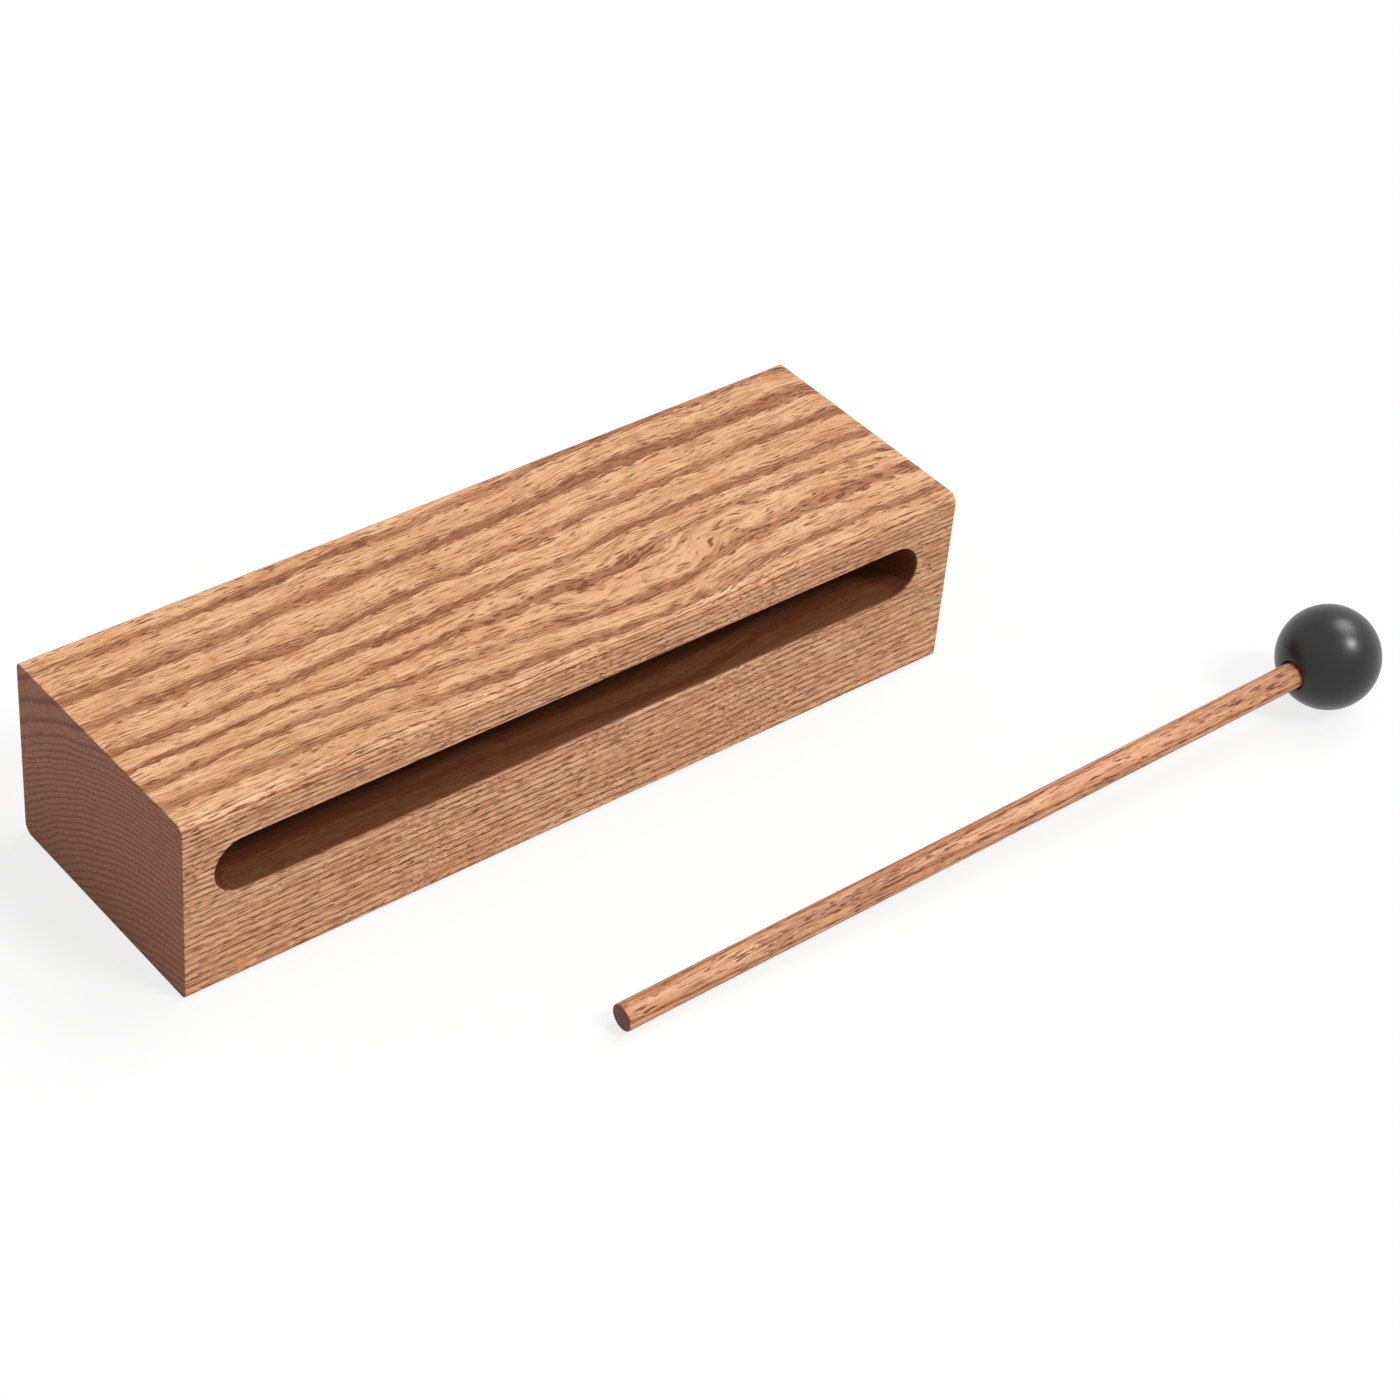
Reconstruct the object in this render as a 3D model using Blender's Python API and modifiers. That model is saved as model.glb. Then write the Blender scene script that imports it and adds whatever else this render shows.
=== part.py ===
"""A wood block with its mallet.

The block is one bar of hardwood with a long round-ended slot routed into its front
face. The wood over the slot is thin, so it rings when the top is struck. The mallet
is a dowel glued into a drilled ball, and it lies on the table in front of the block.

Metres, +Z up. The origin is the centre of the block's underside. The slot faces -Y,
and +X runs along the block, towards the side where the mallet's head lies.
"""

import math

import bmesh
import bpy
from mathutils import Matrix, Vector

# Block
BLOCK_LENGTH = 0.254
BLOCK_DEPTH = 0.0782
BLOCK_HEIGHT = 0.0572
WIDE_ROUND = 0.0032  # radius of the top front and bottom back edges
SLIM_ROUND = 0.0016  # radius of the top back and bottom front edges
ROUND_SEGMENTS = 6

# Slot: as high as its cutter is thick, so each end is a half circle
SLOT_HEIGHT = 0.0172
SLOT_ROOF = 0.0110  # wood left above the slot
SLOT_LEFT_WALL = 0.0093
SLOT_RIGHT_WALL = 0.0122
SLOT_BACK_WALL = 0.0210
SLOT_END_SEGMENTS = 24
CUT_OVERRUN = 0.002  # how far a cutter stands out of the face that it enters

# Mallet
STICK_LENGTH = 0.254
STICK_DIAMETER = 0.0078
STICK_EASE = 0.0004  # chamfer at both ends of the dowel
STICK_SIDES = 32
BALL_DIAMETER = 0.0305
BALL_SEGMENTS = 48
BORE_DEPTH = 0.0190  # from the ball's surface, along the stick
GLUE_GAP = 0.0003  # between the dowel and the bore, all round and behind its end

# Where the mallet lies, from the block's right end and front face to the ball's centre
HEAD_PAST_END = 0.0809
HEAD_IN_FRONT = 0.0769
MALLET_YAW = math.radians(-1.5)  # of the stick, from the block's length

# Finishes
OAK = (0.52, 0.30, 0.15)
DOWEL_OAK = (0.42, 0.18, 0.09)
OAK_ROUGHNESS = 0.55
BLACK_PAINT = (0.012, 0.012, 0.013)
PAINT_ROUGHNESS = 0.3

MERGE_DISTANCE = 0.00002
SHARP_ANGLE = math.radians(30)


def clear_scene():
    for old in list(bpy.data.objects):
        bpy.data.objects.remove(old, do_unlink=True)


def new_collection(name):
    collection = bpy.data.collections.new(name)
    bpy.context.scene.collection.children.link(collection)
    return collection


def make_material(name, colour, roughness):
    material = bpy.data.materials.new(name)
    material.use_nodes = True
    shader = material.node_tree.nodes["Principled BSDF"]
    shader.inputs["Base Color"].default_value = (*colour, 1.0)
    shader.inputs["Roughness"].default_value = roughness
    shader.inputs["Metallic"].default_value = 0.0
    return material


def add_object(name, mesh, collection, material=None):
    thing = bpy.data.objects.new(name, mesh)
    collection.objects.link(thing)
    if material is not None:
        mesh.materials.append(material)
    return thing


def turn(thing, steps):
    """Spins a profile in the XZ plane about the object's own Z axis."""
    screw = thing.modifiers.new("turn", "SCREW")
    screw.axis = "Z"
    screw.steps = steps
    screw.render_steps = steps
    screw.use_merge_vertices = True
    screw.merge_threshold = MERGE_DISTANCE
    screw.use_smooth_shade = True


def profile_mesh(name, points):
    """A line of points (radius, height) to be turned, its outer side listed from top to bottom."""
    mesh = bpy.data.meshes.new(name)
    edges = [(i, i + 1) for i in range(len(points) - 1)]
    mesh.from_pydata([(radius, 0.0, height) for radius, height in points], edges, [])
    return mesh


def arc(centre_x, centre_y, radius, start, end, segments):
    """Points on a circle, from angle start to angle end."""
    angles = [start + (end - start) * i / segments for i in range(segments + 1)]
    return [(centre_x + radius * math.cos(a), centre_y + radius * math.sin(a)) for a in angles]


def slot_centre_z():
    return BLOCK_HEIGHT - SLOT_ROOF - SLOT_HEIGHT / 2


def make_slot_cutter(cutters):
    """The space that the router clears: a round-ended outline pushed in from the front."""
    end_radius = SLOT_HEIGHT / 2
    left = -BLOCK_LENGTH / 2 + SLOT_LEFT_WALL + end_radius
    right = BLOCK_LENGTH / 2 - SLOT_RIGHT_WALL - end_radius
    quarter = math.pi / 2
    outline = arc(right, 0.0, end_radius, -quarter, quarter, SLOT_END_SEGMENTS)
    outline += arc(left, 0.0, end_radius, quarter, 3 * quarter, SLOT_END_SEGMENTS)

    curve = bpy.data.curves.new("slot_outline", "CURVE")
    curve.dimensions = "2D"
    curve.fill_mode = "BOTH"
    spline = curve.splines.new("POLY")
    spline.points.add(len(outline) - 1)
    for point, (x, y) in zip(spline.points, outline):
        point.co = (x, y, 0.0, 1.0)
    spline.use_cyclic_u = True

    front = -BLOCK_DEPTH / 2 - CUT_OVERRUN
    back = BLOCK_DEPTH / 2 - SLOT_BACK_WALL
    curve.extrude = (back - front) / 2
    outline_object = bpy.data.objects.new("slot_outline", curve)
    cutters.objects.link(outline_object)
    outline_object.location = (0.0, (front + back) / 2, slot_centre_z())
    outline_object.rotation_euler = (math.pi / 2, 0.0, 0.0)
    return curve_to_cutter(outline_object, "slot_cutter", cutters)


def curve_to_cutter(curve_object, name, cutters):
    """A closed mesh of the curve's solid, in its place, as a Boolean needs it."""
    bpy.context.view_layer.update()
    graph = bpy.context.evaluated_depsgraph_get()
    mesh = bpy.data.meshes.new_from_object(curve_object.evaluated_get(graph))
    work = bmesh.new()
    work.from_mesh(mesh)
    bmesh.ops.remove_doubles(work, verts=work.verts, dist=MERGE_DISTANCE)
    bmesh.ops.recalc_face_normals(work, faces=work.faces)
    work.to_mesh(mesh)
    work.free()
    cutter = add_object(name, mesh, cutters)
    cutter.matrix_world = curve_object.matrix_world.copy()
    cutter.hide_render = True
    cutter.display_type = "WIRE"
    bpy.data.objects.remove(curve_object, do_unlink=True)
    return cutter


def make_block(parts, cutters):
    """The sounding bar: a box with its four long edges rounded, and the slot cut from it."""
    mesh = bpy.data.meshes.new("block")
    work = bmesh.new()
    size = Matrix.Diagonal((BLOCK_LENGTH, BLOCK_DEPTH, BLOCK_HEIGHT, 1.0))
    lift = Matrix.Translation((0.0, 0.0, BLOCK_HEIGHT / 2))
    bmesh.ops.create_cube(work, size=1.0, matrix=lift @ size)
    weight = work.edges.layers.float.new("bevel_weight_edge")
    for edge in work.edges:
        middle = (edge.verts[0].co + edge.verts[1].co) / 2
        along_length = abs(edge.verts[0].co.x - edge.verts[1].co.x) > BLOCK_LENGTH / 2
        if along_length:
            at_front = middle.y < 0
            at_top = middle.z > BLOCK_HEIGHT / 2
            is_wide = at_front == at_top
            edge[weight] = 1.0 if is_wide else SLIM_ROUND / WIDE_ROUND
    work.to_mesh(mesh)
    work.free()

    block = add_object("block", mesh, parts, make_material("oak_block", OAK, OAK_ROUGHNESS))
    round_over = block.modifiers.new("round_over", "BEVEL")
    round_over.limit_method = "WEIGHT"
    round_over.width = WIDE_ROUND
    round_over.segments = ROUND_SEGMENTS
    slot = block.modifiers.new("slot", "BOOLEAN")
    slot.object = make_slot_cutter(cutters)
    slot.operation = "DIFFERENCE"
    slot.solver = "EXACT"
    mesh.shade_smooth()
    mesh.set_sharp_from_angle(angle=SHARP_ANGLE)
    return block


def bore_bottom():
    """Height of the bore's end over the ball's centre, along the stick."""
    return BORE_DEPTH - BALL_DIAMETER / 2


def stick_head_end():
    return bore_bottom() - GLUE_GAP


def stick_tail_end():
    return stick_head_end() - STICK_LENGTH


def mallet_tilt():
    """The small rise of the stick from the table, with its tail and the ball both resting there."""
    radius = STICK_DIAMETER / 2
    reach = -stick_tail_end() - STICK_EASE
    return math.asin(BALL_DIAMETER / 2 / math.hypot(reach, radius)) - math.atan2(radius, reach)


def make_mallet_frame(parts):
    """An empty at the ball's centre. Its Z axis runs up the stick, and its X axis points up."""
    tilt = mallet_tilt()
    level = Vector((math.cos(MALLET_YAW), math.sin(MALLET_YAW), 0.0))
    up = Vector((0.0, 0.0, 1.0))
    along = level * math.cos(tilt) + up * math.sin(tilt)
    above = up * math.cos(tilt) - level * math.sin(tilt)
    across = along.cross(above)
    centre = Vector(
        (
            BLOCK_LENGTH / 2 + HEAD_PAST_END,
            -BLOCK_DEPTH / 2 - HEAD_IN_FRONT,
            BALL_DIAMETER / 2,
        )
    )
    frame = bpy.data.objects.new("mallet_frame", None)
    parts.objects.link(frame)
    axes = Matrix((above, across, along)).transposed()
    frame.matrix_world = Matrix.Translation(centre) @ axes.to_4x4()
    return frame


def make_stick(parts, frame):
    """The dowel, from its tail on the table to its end in the ball's bore."""
    radius = STICK_DIAMETER / 2
    rim = radius - STICK_EASE
    top = stick_head_end()
    bottom = stick_tail_end()
    outline = [
        (0.0, top),
        (rim, top),
        (radius, top - STICK_EASE),
        (radius, bottom + STICK_EASE),
        (rim, bottom),
        (0.0, bottom),
    ]
    material = make_material("oak_dowel", DOWEL_OAK, OAK_ROUGHNESS)
    stick = add_object("mallet_stick", profile_mesh("mallet_stick", outline), parts, material)
    turn(stick, STICK_SIDES)
    stick.parent = frame
    return stick


def make_head(parts, frame):
    """The ball, turned with the blind bore that the dowel is glued into."""
    radius = BALL_DIAMETER / 2
    bore = STICK_DIAMETER / 2 + GLUE_GAP
    mouth_angle = math.acos(bore / radius)
    outline = arc(0.0, 0.0, radius, math.pi / 2, -mouth_angle, BALL_SEGMENTS // 2)
    outline += [(bore, bore_bottom()), (0.0, bore_bottom())]
    material = make_material("black_ball", BLACK_PAINT, PAINT_ROUGHNESS)
    head = add_object("mallet_head", profile_mesh("mallet_head", outline), parts, material)
    turn(head, BALL_SEGMENTS)
    head.parent = frame
    return head


def main():
    clear_scene()
    parts = new_collection("wood_block")
    cutters = new_collection("cutters")
    make_block(parts, cutters)
    frame = make_mallet_frame(parts)
    make_stick(parts, frame)
    make_head(parts, frame)


main()
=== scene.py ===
"""The looks of the wood block and its mallet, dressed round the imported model.

Metres, +Z up, in the frame of the model. The wood's own figure is worked out in
millimetres. Each wood has one field of growth rings that runs through the whole piece,
so the streaks on a face carry on into the next face and into the end grain.
"""

import math
from collections import namedtuple

import bmesh
import bpy
from mathutils import Matrix, Vector, noise


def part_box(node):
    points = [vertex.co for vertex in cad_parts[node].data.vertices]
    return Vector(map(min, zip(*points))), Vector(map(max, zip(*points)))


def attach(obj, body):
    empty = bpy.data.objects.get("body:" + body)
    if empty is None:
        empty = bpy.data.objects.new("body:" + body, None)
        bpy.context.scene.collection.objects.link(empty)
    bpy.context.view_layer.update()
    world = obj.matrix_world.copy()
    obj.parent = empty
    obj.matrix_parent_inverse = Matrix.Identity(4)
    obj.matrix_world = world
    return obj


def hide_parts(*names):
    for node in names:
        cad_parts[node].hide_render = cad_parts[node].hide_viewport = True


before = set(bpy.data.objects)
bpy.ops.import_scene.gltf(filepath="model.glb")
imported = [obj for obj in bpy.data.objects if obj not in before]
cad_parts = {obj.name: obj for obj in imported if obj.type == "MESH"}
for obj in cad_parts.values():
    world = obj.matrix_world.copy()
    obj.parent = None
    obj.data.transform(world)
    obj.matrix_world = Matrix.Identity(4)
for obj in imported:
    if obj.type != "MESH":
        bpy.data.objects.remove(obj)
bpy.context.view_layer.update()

# Block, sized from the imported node
BLOCK_LOW, BLOCK_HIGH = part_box("block")
BLOCK_SIZE = BLOCK_HIGH - BLOCK_LOW
WIDE_ROUND = 0.0032  # top front and bottom back edges
SLIM_ROUND = 0.0016  # top back and bottom front edges
ROUND_SEGMENTS = 12
EDGE_EASE = 0.0004  # sanded edge at both ends and round the slot
EASE_SEGMENTS = 3
EASE_ANGLE = math.radians(50)

# Slot
SLOT_HEIGHT = 0.0172
SLOT_ROOF = 0.0110
SLOT_LEFT_WALL = 0.0093
SLOT_RIGHT_WALL = 0.0122
SLOT_BACK_WALL = 0.0210
SLOT_END_SEGMENTS = 48
CUT_OVERRUN = 0.002

# Mallet
STICK_LENGTH = 0.254
STICK_DIAMETER = 0.0078
STICK_EASE = 0.0004
STICK_SIDES = 72
STICK_STEP = 0.0015  # between the rings of its mesh
STICK_WOBBLE = 0.00003  # how uneven its surface is
WOBBLE_LENGTH = 0.0156  # along the stick, of one swell of its surface
BALL_DIAMETER = 0.0305
BALL_SEGMENTS = 128
BORE_DEPTH = 0.0190
BORE_RIM = 0.0005  # radius of the softened edge at its mouth
RIM_SEGMENTS = 8
GLUE_GAP = 0.0003
HEAD_PAST_END = 0.0809
HEAD_IN_FRONT = 0.0769
MALLET_YAW = math.radians(-1.5)
SHARP_ANGLE = math.radians(60)

# Camera
CAMERA_PLACE = Vector((-0.47316, -0.60242, 0.63971))
CAMERA_HEADING = math.radians(42.207)  # from +Y towards +X
CAMERA_DOWN = math.radians(39.011)
CAMERA_ROLL = math.radians(5.534)
CAMERA_LENS = 92.4515
CAMERA_SENSOR = 36.0

# Light: each lamp as the direction towards it, the share of full light that it gives, and how wide it looks
KEY_LAMP = ((0.31, -0.54, 0.78), 0.50, math.radians(16))
TOP_LAMP = ((0.52, 0.056, 0.853), 0.43, math.radians(30))
SKY_LIGHT = 0.26
FLOOR_SIZE = 8.0
FLOOR_DROP = 0.0002  # under the object, so that no two faces lie in one plane
FLOOR_ROUGHNESS = 0.9
FLOOR_COLOUR = (0.8, 0.8, 0.8, 1.0)  # as it lights the object
FLOOR_SEEN = (1.0, 1.0, 1.0, 1.0)  # as it is seen
FLOOR_GLOW = 0.8  # share of plain white in what is seen, which keeps the shadow faint

MILLIMETRES = 1000.0


def add_piece(name, mesh, body, slot, material, *nodes):
    """Adds a finished piece, which rides on its body and stands for the given nodes."""
    thing = bpy.data.objects.new(name, mesh)
    bpy.context.scene.collection.objects.link(thing)
    mesh.materials.clear()
    mesh.materials.append(material)
    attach(thing, body)
    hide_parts(*nodes)
    return thing


def applied_mesh(thing):
    """The object's mesh with its modifiers applied. The object itself is removed."""
    graph = bpy.context.evaluated_depsgraph_get()
    mesh = bpy.data.meshes.new_from_object(thing.evaluated_get(graph))
    bpy.data.objects.remove(thing, do_unlink=True)
    return mesh


def arc(centre_x, centre_y, radius, start, end, segments):
    """Points on a circle, from angle start to angle end."""
    angles = [start + (end - start) * i / segments for i in range(segments + 1)]
    return [(centre_x + radius * math.cos(a), centre_y + radius * math.sin(a)) for a in angles]


# Shapes

def slot_cutter():
    """The round-ended space that the router clears, as a closed mesh."""
    radius = SLOT_HEIGHT / 2
    left = BLOCK_LOW.x + SLOT_LEFT_WALL + radius
    right = BLOCK_HIGH.x - SLOT_RIGHT_WALL - radius
    middle = BLOCK_HIGH.z - SLOT_ROOF - radius
    front = BLOCK_LOW.y - CUT_OVERRUN
    back = BLOCK_HIGH.y - SLOT_BACK_WALL
    quarter = math.pi / 2
    outline = arc(right, middle, radius, -quarter, quarter, SLOT_END_SEGMENTS)
    outline += arc(left, middle, radius, quarter, 3 * quarter, SLOT_END_SEGMENTS)

    work = bmesh.new()
    face = work.faces.new([work.verts.new((x, front, z)) for x, z in outline])
    extruded = bmesh.ops.extrude_face_region(work, geom=[face])
    moved = [part for part in extruded["geom"] if isinstance(part, bmesh.types.BMVert)]
    bmesh.ops.translate(work, verts=moved, vec=(0.0, back - front, 0.0))
    bmesh.ops.recalc_face_normals(work, faces=work.faces)
    mesh = bpy.data.meshes.new("slot_cutter")
    work.to_mesh(mesh)
    work.free()
    cutter = bpy.data.objects.new("slot_cutter", mesh)
    bpy.context.scene.collection.objects.link(cutter)
    return cutter


def block_mesh():
    """The bar with its long edges rounded, the slot cut, and every other edge eased."""
    work = bmesh.new()
    middle = (BLOCK_LOW + BLOCK_HIGH) / 2
    size = Matrix.Diagonal((*BLOCK_SIZE, 1.0))
    bmesh.ops.create_cube(work, size=1.0, matrix=Matrix.Translation(middle) @ size)
    weight = work.edges.layers.float.new("bevel_weight_edge")
    for edge in work.edges:
        if abs(edge.verts[0].co.x - edge.verts[1].co.x) > BLOCK_SIZE.x / 2:
            centre = (edge.verts[0].co + edge.verts[1].co) / 2
            is_wide = (centre.y < middle.y) == (centre.z > middle.z)
            edge[weight] = 1.0 if is_wide else SLIM_ROUND / WIDE_ROUND
    mesh = bpy.data.meshes.new("block_shape")
    work.to_mesh(mesh)
    work.free()
    block = bpy.data.objects.new("block_shape", mesh)
    bpy.context.scene.collection.objects.link(block)

    round_over = block.modifiers.new("round_over", "BEVEL")
    round_over.limit_method = "WEIGHT"
    round_over.width = WIDE_ROUND
    round_over.segments = ROUND_SEGMENTS
    slot = block.modifiers.new("slot", "BOOLEAN")
    slot.object = slot_cutter()
    slot.solver = "EXACT"
    ease = block.modifiers.new("ease", "BEVEL")
    ease.limit_method = "ANGLE"
    ease.angle_limit = EASE_ANGLE
    ease.width = EDGE_EASE
    ease.segments = EASE_SEGMENTS
    mesh.shade_smooth()
    shade = block.modifiers.new("shade", "WEIGHTED_NORMAL")
    shade.mode = "FACE_AREA"
    cutter = slot.object
    made = applied_mesh(block)
    bpy.data.objects.remove(cutter, do_unlink=True)
    return made


def mallet_matrix():
    """The ball's centre, with Z up the stick towards the head and X pointing up."""
    tail = STICK_LENGTH - (BORE_DEPTH - BALL_DIAMETER / 2 - GLUE_GAP)
    reach = tail - STICK_EASE
    radius = STICK_DIAMETER / 2
    tilt = math.asin(BALL_DIAMETER / 2 / math.hypot(reach, radius)) - math.atan2(radius, reach)
    level = Vector((math.cos(MALLET_YAW), math.sin(MALLET_YAW), 0.0))
    up = Vector((0.0, 0.0, 1.0))
    along = level * math.cos(tilt) + up * math.sin(tilt)
    above = up * math.cos(tilt) - level * math.sin(tilt)
    across = along.cross(above)
    place = (BLOCK_HIGH.x + HEAD_PAST_END, BLOCK_LOW.y - HEAD_IN_FRONT, BALL_DIAMETER / 2)
    axes = Matrix((above, across, along)).transposed()
    return Matrix.Translation(place) @ axes.to_4x4()


def lathe(name, profile, sides, wobble=0.0):
    """A turned mesh in the mallet's place. Its profile (radius, height) starts and ends on the axis."""
    work = bmesh.new()
    rings = []
    for radius, height in profile:
        if radius == 0.0:
            rings.append([work.verts.new((0.0, 0.0, height))] * sides)
            continue
        ring = []
        for i in range(sides):
            angle = 2 * math.pi * i / sides
            spot = Vector((math.cos(angle), math.sin(angle), height / WOBBLE_LENGTH))
            reach = radius - wobble * (1 + noise.noise(spot))
            ring.append(work.verts.new((reach * math.cos(angle), reach * math.sin(angle), height)))
        rings.append(ring)
    for upper, lower in zip(rings, rings[1:]):
        for i in range(sides):
            j = (i + 1) % sides
            corners = [upper[i], lower[i], lower[j], upper[j]]
            work.faces.new(list(dict.fromkeys(corners)))
    bmesh.ops.recalc_face_normals(work, faces=work.faces)
    mesh = bpy.data.meshes.new(name)
    work.to_mesh(mesh)
    work.free()
    mesh.transform(mallet_matrix())
    mesh.shade_smooth()
    mesh.set_sharp_from_angle(angle=SHARP_ANGLE)
    return mesh


def stick_mesh():
    """The dowel: straight to the eye, a hair uneven under the hand, both ends eased."""
    radius = STICK_DIAMETER / 2
    inner = radius - STICK_EASE
    top = BORE_DEPTH - BALL_DIAMETER / 2 - GLUE_GAP
    bottom = top - STICK_LENGTH
    quarter = math.pi / 2
    profile = [(0.0, top)]
    profile += arc(inner, top - STICK_EASE, STICK_EASE, quarter, 0.0, EASE_SEGMENTS)
    steps = round(STICK_LENGTH / STICK_STEP)
    for i in range(1, steps):
        profile.append((radius, top - STICK_LENGTH * i / steps))
    profile += arc(inner, bottom + STICK_EASE, STICK_EASE, 0.0, -quarter, EASE_SEGMENTS)
    profile.append((0.0, bottom))
    return lathe("dowel", profile, STICK_SIDES, STICK_WOBBLE)


def ball_mesh():
    """The turned ball, with a softened rim where the dowel goes in."""
    radius = BALL_DIAMETER / 2
    bore = STICK_DIAMETER / 2 + GLUE_GAP
    rim_centre = bore + BORE_RIM
    rim_depth = math.sqrt((radius - BORE_RIM) ** 2 - rim_centre ** 2)
    meeting = math.atan2(rim_depth, rim_centre)
    profile = [(0.0, radius)]
    profile += arc(0.0, 0.0, radius, math.pi / 2, -meeting, BALL_SEGMENTS // 2)[1:]
    profile += arc(rim_centre, -rim_depth, BORE_RIM, -meeting, -math.pi, RIM_SEGMENTS)[1:]
    bottom = BORE_DEPTH - radius
    profile += [(bore, bottom), (0.0, bottom)]
    return lathe("ball", profile, BALL_SEGMENTS)


# Materials

def srgb(red, green, blue):
    """A colour as a screen shows it, 0 to 255, made linear for the shader."""
    def linear(value):
        value /= 255
        return value / 12.92 if value <= 0.04045 else ((value + 0.055) / 1.055) ** 2.4
    return (linear(red), linear(green), linear(blue), 1.0)


class Nodes:
    """Short calls that build one material's node tree."""

    def __init__(self, name):
        self.material = bpy.data.materials.new(name)
        self.material.use_nodes = True
        self.tree = self.material.node_tree
        self.shader = self.tree.nodes["Principled BSDF"]

    def add(self, kind, *inputs, **settings):
        """A node with its settings, and its sockets fed in order. None leaves a socket alone."""
        node = self.tree.nodes.new("ShaderNode" + kind)
        for name, value in settings.items():
            setattr(node, name, value)
        for socket, value in zip(node.inputs, inputs):
            self.feed(socket, value)
        return node

    def feed(self, socket, value):
        if isinstance(value, bpy.types.NodeSocket):
            self.tree.links.new(value, socket)
        elif value is not None:
            socket.default_value = value

    def math(self, operation, first, second=None, third=None):
        return self.add("Math", first, second, third, operation=operation).outputs[0]

    def vector(self, x, y, z):
        return self.add("CombineXYZ", x, y, z).outputs[0]

    def product(self, first, second):
        return self.math("MULTIPLY", first, second)

    def noise(self, vector, detail=2.0, rough=0.5, scale=1.0):
        node = self.add("TexNoise", vector)
        node.inputs["Scale"].default_value = scale
        node.inputs["Detail"].default_value = detail
        node.inputs["Roughness"].default_value = rough
        return node.outputs[0]

    def step(self, value, low, high, to_low=0.0, to_high=1.0):
        """A smooth change from to_low to to_high while the value goes from low to high."""
        node = self.add("MapRange", interpolation_type="SMOOTHSTEP")
        for name, given in (
            ("Value", value),
            ("From Min", low),
            ("From Max", high),
            ("To Min", to_low),
            ("To Max", to_high),
        ):
            self.feed(node.inputs[name], given)
        return node.outputs[0]

    def mix(self, factor, first, second):
        node = self.add("Mix", data_type="RGBA")
        result = next(socket for socket in node.outputs if socket.type == "RGBA")
        sides = [socket for socket in node.inputs if socket.type == "RGBA"]
        self.feed(node.inputs["Factor"], factor)
        self.feed(sides[0], first)
        self.feed(sides[1], second)
        return result

    def bump(self, height, strength, distance):
        """Gives the shader a fine relief, of a real height in metres."""
        node = self.add("Bump")
        node.inputs["Strength"].default_value = strength
        node.inputs["Distance"].default_value = distance
        self.feed(node.inputs["Height"], height)
        self.feed(self.shader.inputs["Normal"], node.outputs[0])

    def curve(self, value, points):
        """A smooth curve through points (value, result)."""
        low = points[0][0]
        high = points[-1][0]
        bottom = min(result for _, result in points)
        reach = max(result for _, result in points) - bottom
        node = self.add("FloatCurve")
        line = node.mapping.curves[0]
        for i, (given, result) in enumerate(points):
            spot = ((given - low) / (high - low), (result - bottom) / reach)
            if i == 0:
                line.points[0].location = spot
            elif i == len(points) - 1:
                line.points[-1].location = spot
            else:
                line.points.new(*spot)
        node.mapping.update()
        share = self.add("MapRange", value, low, high, 0.0, 1.0).outputs[0]
        self.feed(node.inputs["Value"], share)
        return self.math("MULTIPLY_ADD", node.outputs[0], reach, bottom)


# Oak, in millimetres. The tree's centre runs under the block and a little in front of it.
PITH_BELOW_TOP = 140.0
PITH_IN_FRONT = 15.0
# Marks a little in front of each dark band, in from the back edge, in the top's plane at the block's left end
RING_MARKS = (-9.0, 1.5, 11.0, 24.5, 37.0, 48.0, 54.5, 62.5, 73.0, 84.0)
MARK_TO_BAND = 0.15  # share of a ring from each mark back to where its dark band starts
INNER_RING = 2.0  # width of the rings under the last mark
INNER_RINGS = 30  # how many of them
# How far the rings swing forwards, at distances from the left end: those at the back, and at the front
BACK_DRIFT = ((0, 0), (60, -0.5), (100, -2.2), (140, -2.6), (170, -5.0), (220, -5.8), (254, -3.5))
FRONT_DRIFT = ((0, 0), (55, 0), (80, 1.5), (125, 4.5), (155, 6.5), (180, 4.5), (212, 1.5), (254, 2))
DRIFT_CHANGE = (44.0, 66.0)  # from the back edge, where the one drift gives way to the other
SWAY = 5.0  # a finer swing on top of those
SWAY_LENGTH = 28.0
SWAY_WIDTH = 12.0
SWAY_DETAIL = 2.0
INNER_CONTRAST = (PITH_BELOW_TOP - 1.0, PITH_BELOW_TOP + 6.0, 0.85, 1.0)  # by distance from the pith

# The dowel's rings are flat and lean across it and along it
DOWEL_RING = 1.9
DOWEL_LEAN_ACROSS = 0.6
DOWEL_LEAN_ALONG = 0.012
DOWEL_CONTRAST = 0.75

# Textures: length along the grain, width along the rings, depth across them, and how fine each is
Texture = namedtuple("Texture", "length width depth detail rough")
FEATHER = Texture(5.0, 0.8, 0.8, 2.0, 0.5)
RING_TONE = Texture(45.0, 9.0, 9.0, 2.0, 0.5)
PATCH = Texture(30.0, 4.0, 4.0, 3.0, 0.5)
FIBRE = Texture(9.0, 0.6, 0.6, 3.0, 0.6)
RAY = Texture(3.2, 0.35, 2.4, 1.0, 0.5)
PORE = Texture(4.5, 0.42, 0.42, 1.0, 0.5)
SPECKLE = Texture(2.0, 0.5, 0.5, 2.0, 0.5)

# Smooth steps, each as low, high and the results there, which are 0 and 1 where none are given
RING_RISE = (0.0, 0.05)
RING_FALL = (0.24, 0.48, 1.0, 0.0)
RING_TONE_STEP = (0.3, 0.62, 0.6, 1.0)
PATCH_STEP = (0.3, 0.7)
FIBRE_STEP = (0.42, 0.7, 0.0, 0.9)
RAY_STEP = (0.58, 0.72, 0.0, 0.5)
PORE_STEP = (0.0, 0.09, 0.0, 0.9)
SPECKLE_STEP = (0.35, 0.7)
END_STEP = (0.55, 0.9)

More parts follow.
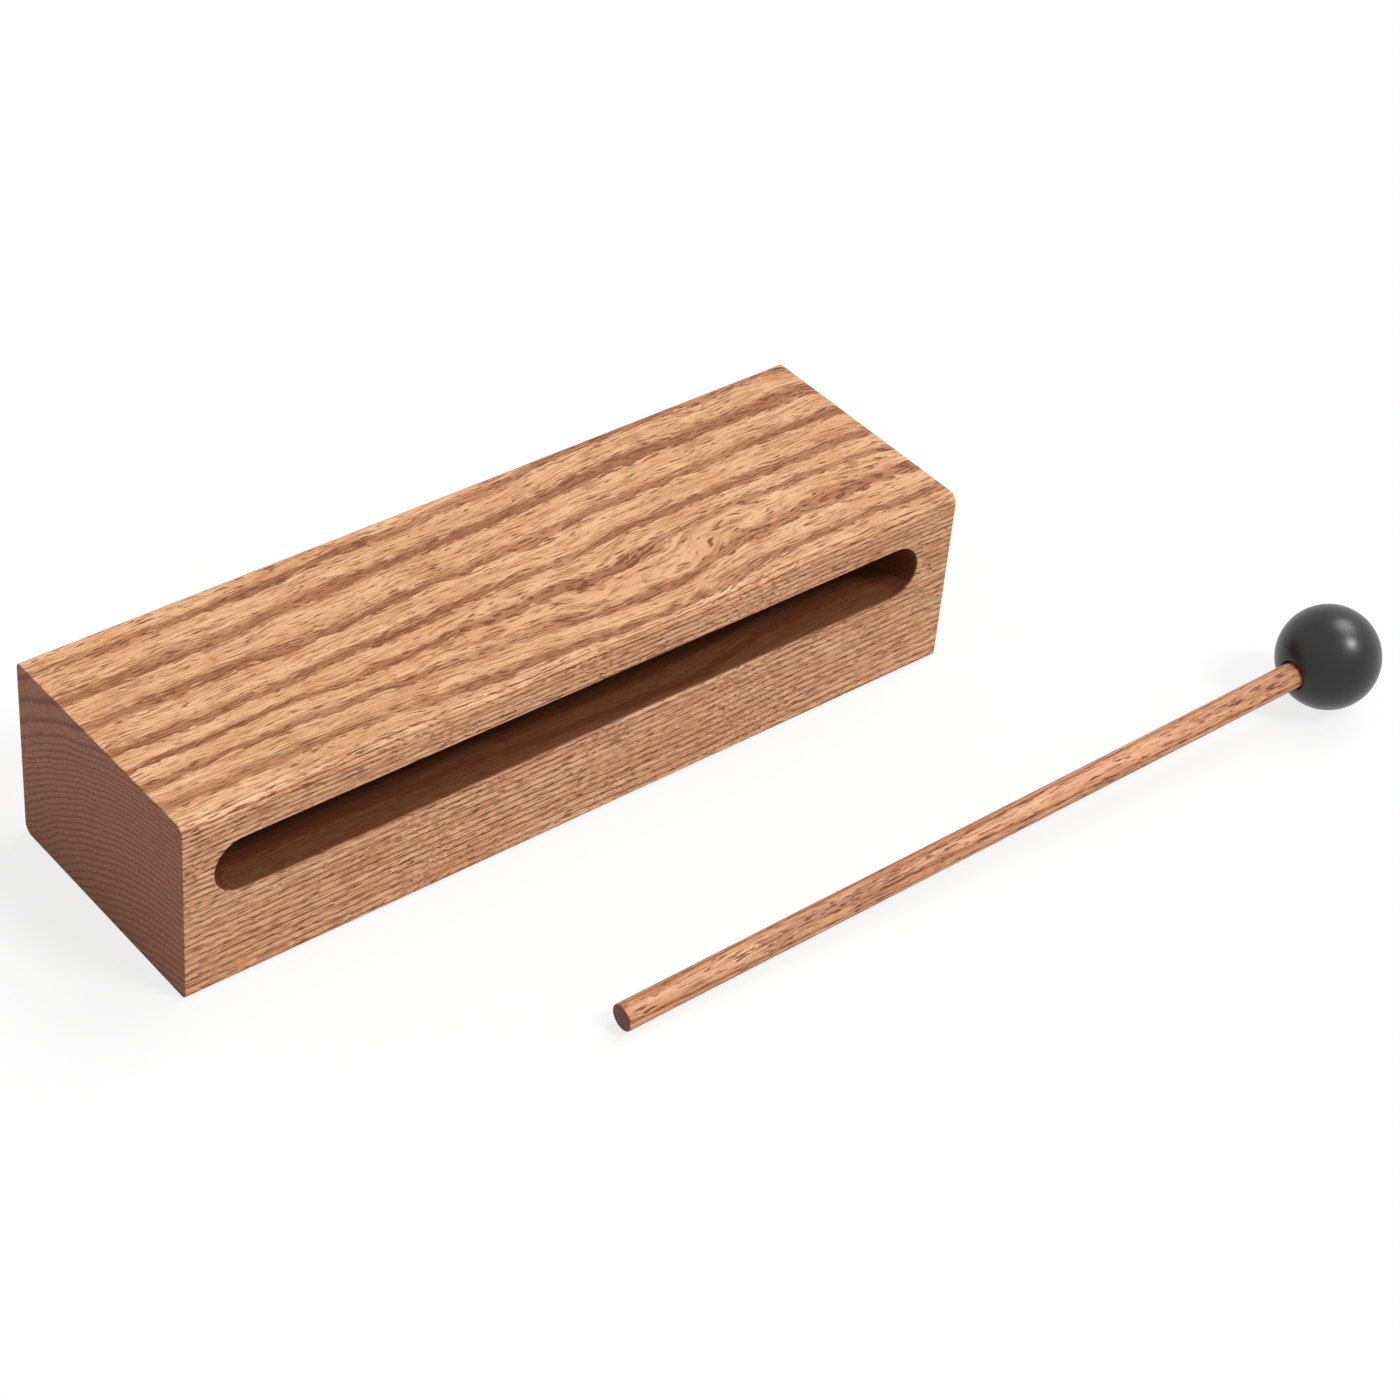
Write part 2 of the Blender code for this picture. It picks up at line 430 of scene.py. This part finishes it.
RAGGED = 0.55  # of a ring's width, how far its edges are feathered
PORE_LEVEL = 0.60  # the noise over which a pore opens, outside the dark bands
PORES_IN_BAND = -0.12  # what the dark band adds to that level
END_BAND = 0.75  # how dark the bands are on the end grain
END_SPECKLE = 0.6  # and the pores between them
OAK_ROUGHNESS = 0.42
FIBRE_ROUGHNESS = 0.16
END_ROUGHNESS = 0.16
PORE_ROUGHNESS = 0.2
FIBRE_HEIGHT = 0.35  # against a pore's depth of 1
OAK_RELIEF = (0.35, 0.00012)  # strength, and height in metres

BLOCK_PALETTE = {
    "light": srgb(242, 190, 144),
    "tan": srgb(222, 160, 112),
    "ring": srgb(164, 99, 53),
    "pore": srgb(110, 58, 24),
    "end": srgb(172, 105, 70),
    "end_pore": srgb(98, 50, 26),
}
DOWEL_PALETTE = {
    "light": srgb(236, 174, 128),
    "tan": srgb(212, 148, 106),
    "ring": srgb(156, 90, 48),
    "pore": srgb(100, 50, 22),
    "end": srgb(128, 78, 56),
    "end_pore": srgb(90, 50, 36),
}

# Painted shade inside the slot: its walls are darkened to stand in for the shade of the recess
SLOT_SHADE_COLOUR = srgb(98, 42, 10)
SLOT_SHADE_STRENGTH = 0.85
SLOT_SHADE_EDGE = (0.1, 0.5)  # past the slot's roof and floor, where it ends
SLOT_SHADE_MOUTH = (0.2, 1.2)  # from the front face, where it starts
SLOT_SHADE_END = (0.0, 1.0)  # from the middle of the wood past the slot's ends and back, where it starts

# Paint. Each texture is its detail, its roughness and its waves per millimetre.
PAINT_DARK = srgb(8, 8, 9)
PAINT_LIGHT = srgb(20, 20, 21)
DUST = srgb(92, 90, 88)
CLOUD = (3.0, 0.6, 0.22)
DUST_SPECKS = (2.0, 0.6, 2.4)
DUST_STEP = (0.66, 0.78, 0.0, 0.18)
BRUSH = (2.0, 0.5, 0.9)
PAINT_ROUGHNESS = 0.24
CLOUD_ROUGHNESS = 0.16
PAINT_RELIEF = (0.12, 0.0002)


def position(nodes):
    """The place in the piece, in millimetres from the frame's origin."""
    place = nodes.add("TexCoord").outputs["Object"]
    scaled = nodes.add("VectorMath", place, (MILLIMETRES,) * 3, operation="MULTIPLY").outputs[0]
    return nodes.add("SeparateXYZ", scaled).outputs


def end_share(nodes, axis):
    """1 where the surface cuts across the grain, 0 where it runs along it."""
    normal = nodes.add("TexCoord").outputs["Normal"]
    facing = nodes.add("VectorMath", normal, tuple(axis), operation="DOT_PRODUCT")
    return nodes.step(nodes.math("ABSOLUTE", facing.outputs["Value"]), *END_STEP)


def oak(nodes, along, turn, radius, phase, end, palette, contrast, painted_shade=None):
    """Ring-porous wood: dark porous early wood, lighter late wood, pores, rays and end grain, and painted
    shade where it is given.
    """
    def texture(size):
        place = nodes.vector(
            nodes.math("DIVIDE", along, size.length),
            nodes.math("DIVIDE", turn, size.width),
            nodes.math("DIVIDE", radius, size.depth),
        )
        return nodes.noise(place, size.detail, size.rough)

    # The dark band at the start of each ring
    feather = nodes.math("SUBTRACT", texture(FEATHER), 0.5)
    ring = nodes.math("FRACT", nodes.math("MULTIPLY_ADD", feather, RAGGED, phase))
    band = nodes.product(nodes.step(ring, *RING_RISE), nodes.step(ring, *RING_FALL))
    tone = nodes.step(texture(RING_TONE), *RING_TONE_STEP)
    early = nodes.product(nodes.product(band, tone), contrast)

    # Light wood, its fibres and rays, and the band over them
    patch = nodes.step(texture(PATCH), *PATCH_STEP)
    colour = nodes.mix(patch, palette["tan"], palette["light"])
    fibre = texture(FIBRE)
    colour = nodes.mix(nodes.step(fibre, *FIBRE_STEP), colour, palette["ring"])
    colour = nodes.mix(nodes.step(texture(RAY), *RAY_STEP), colour, palette["light"])
    colour = nodes.mix(early, colour, palette["ring"])

    # Open pores, most of them in the band
    level = nodes.math("MULTIPLY_ADD", early, PORES_IN_BAND, PORE_LEVEL)
    above = nodes.math("SUBTRACT", texture(PORE), level)
    pore = nodes.step(above, *PORE_STEP)
    colour = nodes.mix(pore, colour, palette["pore"])

    # End grain
    speckle = nodes.step(texture(SPECKLE), *SPECKLE_STEP)
    dark_share = nodes.math(
        "MAXIMUM", nodes.product(band, END_BAND), nodes.product(speckle, END_SPECKLE)
    )
    colour = nodes.mix(end, colour, nodes.mix(dark_share, palette["end"], palette["end_pore"]))
    # Painted shade on the slot's walls, for the shade of its recess
    if painted_shade is not None:
        colour = nodes.mix(painted_shade, colour, SLOT_SHADE_COLOUR)
    nodes.feed(nodes.shader.inputs["Base Color"], colour)

    rough = nodes.math("MULTIPLY_ADD", fibre, FIBRE_ROUGHNESS, OAK_ROUGHNESS)
    rough = nodes.math("MULTIPLY_ADD", end, END_ROUGHNESS, rough)
    rough = nodes.math("MULTIPLY_ADD", pore, PORE_ROUGHNESS, rough)
    nodes.feed(nodes.shader.inputs["Roughness"], rough)
    nodes.bump(nodes.math("SUBTRACT", nodes.product(fibre, FIBRE_HEIGHT), pore), *OAK_RELIEF)


def painted_slot_shade(nodes, x, y, z):
    """How much painted shade darkens the wood, standing in for the shade of the recess: only on the walls of
    the slot.
    """
    low = (BLOCK_LOW + Vector((SLOT_LEFT_WALL / 2, 0.0, 0.0))) * MILLIMETRES
    high = (BLOCK_HIGH - Vector((SLOT_RIGHT_WALL / 2, SLOT_BACK_WALL / 2, 0.0))) * MILLIMETRES
    middle = (BLOCK_HIGH.z - SLOT_ROOF - SLOT_HEIGHT / 2) * MILLIMETRES
    reach = SLOT_HEIGHT / 2 * MILLIMETRES
    off_middle = nodes.math("ABSOLUTE", nodes.math("SUBTRACT", z, middle))
    past_wall = nodes.math("SUBTRACT", off_middle, reach)
    share = nodes.step(past_wall, *SLOT_SHADE_EDGE, SLOT_SHADE_STRENGTH, 0.0)
    for distance, change in (
        (nodes.math("SUBTRACT", y, low.y), SLOT_SHADE_MOUTH),
        (nodes.math("SUBTRACT", high.y, y), SLOT_SHADE_END),
        (nodes.math("SUBTRACT", x, low.x), SLOT_SHADE_END),
        (nodes.math("SUBTRACT", high.x, x), SLOT_SHADE_END),
    ):
        share = nodes.product(share, nodes.step(distance, *change))
    return share


def ring_drift(nodes, x, y, z, from_back):
    """How far the block's rings swing forwards at a place, as they do round a bend in the tree."""
    from_left = nodes.math("SUBTRACT", x, BLOCK_LOW.x * MILLIMETRES)
    at_back = nodes.curve(from_left, BACK_DRIFT)
    at_front = nodes.curve(from_left, FRONT_DRIFT)
    forward = nodes.step(from_back, *DRIFT_CHANGE)
    change = nodes.product(nodes.math("SUBTRACT", at_front, at_back), forward)
    drift = nodes.math("ADD", at_back, change)
    place = nodes.vector(
        nodes.math("DIVIDE", x, SWAY_LENGTH),
        nodes.math("DIVIDE", y, SWAY_WIDTH),
        nodes.math("DIVIDE", z, SWAY_WIDTH),
    )
    sway = nodes.math("SUBTRACT", nodes.noise(place, SWAY_DETAIL), 0.5)
    return nodes.math("SUBTRACT", drift, nodes.product(sway, SWAY))


def block_material():
    """Oak with its rings round a far pith, so that they rise from the back to the front."""
    nodes = Nodes("oak_block_wood")
    x, y, z = position(nodes)
    from_back = nodes.math("SUBTRACT", BLOCK_HIGH.y * MILLIMETRES, y)
    below_top = nodes.math("SUBTRACT", BLOCK_HIGH.z * MILLIMETRES, z)
    straight = nodes.math("SUBTRACT", from_back, ring_drift(nodes, x, y, z, from_back))

    pith_from_back = BLOCK_SIZE.y * MILLIMETRES + PITH_IN_FRONT
    sideways = nodes.math("SUBTRACT", pith_from_back, straight)
    upward = nodes.math("SUBTRACT", PITH_BELOW_TOP, below_top)
    squares = nodes.math("ADD", nodes.product(sideways, sideways), nodes.product(upward, upward))
    radius = nodes.math("SQRT", squares)
    turn = nodes.product(nodes.math("ARCTAN2", sideways, upward), PITH_BELOW_TOP)

    rings = []
    for i, mark in enumerate(reversed(RING_MARKS)):
        rings.append((math.hypot(pith_from_back - mark, PITH_BELOW_TOP), i - MARK_TO_BAND))
    first_radius, first_phase = rings[0]
    rings.insert(0, (first_radius - INNER_RINGS * INNER_RING, first_phase - INNER_RINGS))
    phase = nodes.curve(radius, rings)
    end = end_share(nodes, (1.0, 0.0, 0.0))
    contrast = nodes.step(radius, *INNER_CONTRAST)
    # Painted shade on the walls of the slot
    painted_shade = painted_slot_shade(nodes, x, y, z)
    oak(nodes, x, turn, radius, phase, end, BLOCK_PALETTE, contrast, painted_shade)
    return nodes.material


def dowel_material():
    """Straight-grained oak, with flat rings that lean across the stick."""
    nodes = Nodes("oak_dowel_wood")
    matrix = mallet_matrix()
    place = nodes.add("TexCoord").outputs["Object"]
    local = nodes.add("Mapping", place, vector_type="TEXTURE")
    local.inputs["Location"].default_value = matrix.translation
    local.inputs["Rotation"].default_value = matrix.to_euler()
    scaled = nodes.add("VectorMath", local.outputs[0], (MILLIMETRES,) * 3, operation="MULTIPLY")
    up, across, along = nodes.add("SeparateXYZ", scaled.outputs[0]).outputs
    lean = nodes.math("MULTIPLY_ADD", along, DOWEL_LEAN_ALONG, nodes.product(across, DOWEL_LEAN_ACROSS))
    height = nodes.math("ADD", up, lean)
    phase = nodes.math("DIVIDE", height, DOWEL_RING)
    end = end_share(nodes, matrix.to_3x3() @ Vector((0.0, 0.0, 1.0)))
    oak(nodes, along, across, height, phase, end, DOWEL_PALETTE, DOWEL_CONTRAST)
    return nodes.material


def paint_material():
    """Smooth satin black paint, with faint clouds in its gloss and a trace of dust."""
    nodes = Nodes("black_paint")
    place = nodes.vector(*position(nodes))
    cloud = nodes.noise(place, *CLOUD)
    dust = nodes.step(nodes.noise(place, *DUST_SPECKS), *DUST_STEP)
    colour = nodes.mix(dust, nodes.mix(cloud, PAINT_DARK, PAINT_LIGHT), DUST)
    nodes.feed(nodes.shader.inputs["Base Color"], colour)
    rough = nodes.math("MULTIPLY_ADD", cloud, CLOUD_ROUGHNESS, PAINT_ROUGHNESS)
    nodes.feed(nodes.shader.inputs["Roughness"], rough)
    brush = nodes.noise(place, *BRUSH)
    nodes.bump(nodes.math("ADD", brush, dust), *PAINT_RELIEF)
    return nodes.material


# Stage

def seen_directly(tree):
    """1 for the camera's own rays and for what shiny surfaces show, 0 for light on the object."""
    path = tree.nodes.new("ShaderNodeLightPath")
    seen = path.outputs["Is Camera Ray"]
    for name in ("Is Glossy Ray", "Is Transmission Ray"):
        larger = tree.nodes.new("ShaderNodeMath")
        larger.operation = "MAXIMUM"
        tree.links.new(seen, larger.inputs[0])
        tree.links.new(path.outputs[name], larger.inputs[1])
        seen = larger.outputs[0]
    return seen


def make_floor():
    """A pale floor that looks white wherever it is seen, and keeps the object's soft shadow."""
    work = bmesh.new()
    bmesh.ops.create_grid(work, x_segments=1, y_segments=1, size=FLOOR_SIZE / 2)
    mesh = bpy.data.meshes.new("floor")
    work.to_mesh(mesh)
    work.free()
    floor = bpy.data.objects.new("floor", mesh)
    bpy.context.scene.collection.objects.link(floor)
    floor.location.z = BLOCK_LOW.z - FLOOR_DROP
    nodes = Nodes("pale_floor")
    nodes.shader.inputs["Roughness"].default_value = FLOOR_ROUGHNESS
    nodes.shader.inputs["Specular IOR Level"].default_value = 0.0
    seen = seen_directly(nodes.tree)
    nodes.feed(nodes.shader.inputs["Base Color"], nodes.mix(seen, FLOOR_COLOUR, FLOOR_SEEN))
    glow = nodes.add("Emission")
    glow.inputs["Strength"].default_value = 1.0
    share = nodes.math("MULTIPLY", seen, FLOOR_GLOW)
    blend = nodes.add("MixShader", share, nodes.shader.outputs[0], glow.outputs[0])
    output = nodes.tree.nodes["Material Output"]
    nodes.feed(output.inputs["Surface"], blend.outputs[0])
    mesh.materials.append(nodes.material)


def make_world():
    """Even pale light from all sides, and plain white wherever it is seen directly."""
    world = bpy.data.worlds.new("studio")
    world.use_nodes = True
    bpy.context.scene.world = world
    tree = world.node_tree
    background = tree.nodes["Background"]
    level = tree.nodes.new("ShaderNodeMapRange")
    tree.links.new(seen_directly(tree), level.inputs["Value"])
    level.inputs["To Min"].default_value = SKY_LIGHT
    level.inputs["To Max"].default_value = 1.0
    tree.links.new(level.outputs[0], background.inputs["Strength"])
    background.inputs["Color"].default_value = (1.0, 1.0, 1.0, 1.0)


def make_lamp(name, towards, share, spread):
    """A large soft lamp far away. A share of 1 shows a colour facing it as it is written."""
    data = bpy.data.lights.new(name, "SUN")
    data.energy = share * math.pi
    data.angle = spread
    lamp = bpy.data.objects.new(name, data)
    bpy.context.scene.collection.objects.link(lamp)
    lamp.rotation_euler = Vector(towards).to_track_quat("Z", "Y").to_euler()


def make_camera():
    data = bpy.data.cameras.new("camera")
    data.lens = CAMERA_LENS
    data.sensor_width = CAMERA_SENSOR
    camera = bpy.data.objects.new("camera", data)
    bpy.context.scene.collection.objects.link(camera)
    facing = Matrix.Rotation(-CAMERA_HEADING, 4, "Z")
    tipped = Matrix.Rotation(math.pi / 2 - CAMERA_DOWN, 4, "X")
    rolled = Matrix.Rotation(CAMERA_ROLL, 4, "Z")
    camera.matrix_world = Matrix.Translation(CAMERA_PLACE) @ facing @ tipped @ rolled
    bpy.context.scene.camera = camera


bpy.context.scene.view_settings.view_transform = "Standard"
make_camera()
make_world()
make_floor()
make_lamp("key_lamp", *KEY_LAMP)
make_lamp("top_lamp", *TOP_LAMP)
add_piece("sounding_block", block_mesh(), "block", "oak_block", block_material(), "block")
add_piece("mallet_dowel", stick_mesh(), "mallet", "oak_dowel", dowel_material(), "mallet_stick")
add_piece("mallet_ball", ball_mesh(), "mallet", "black_ball", paint_material(), "mallet_head")
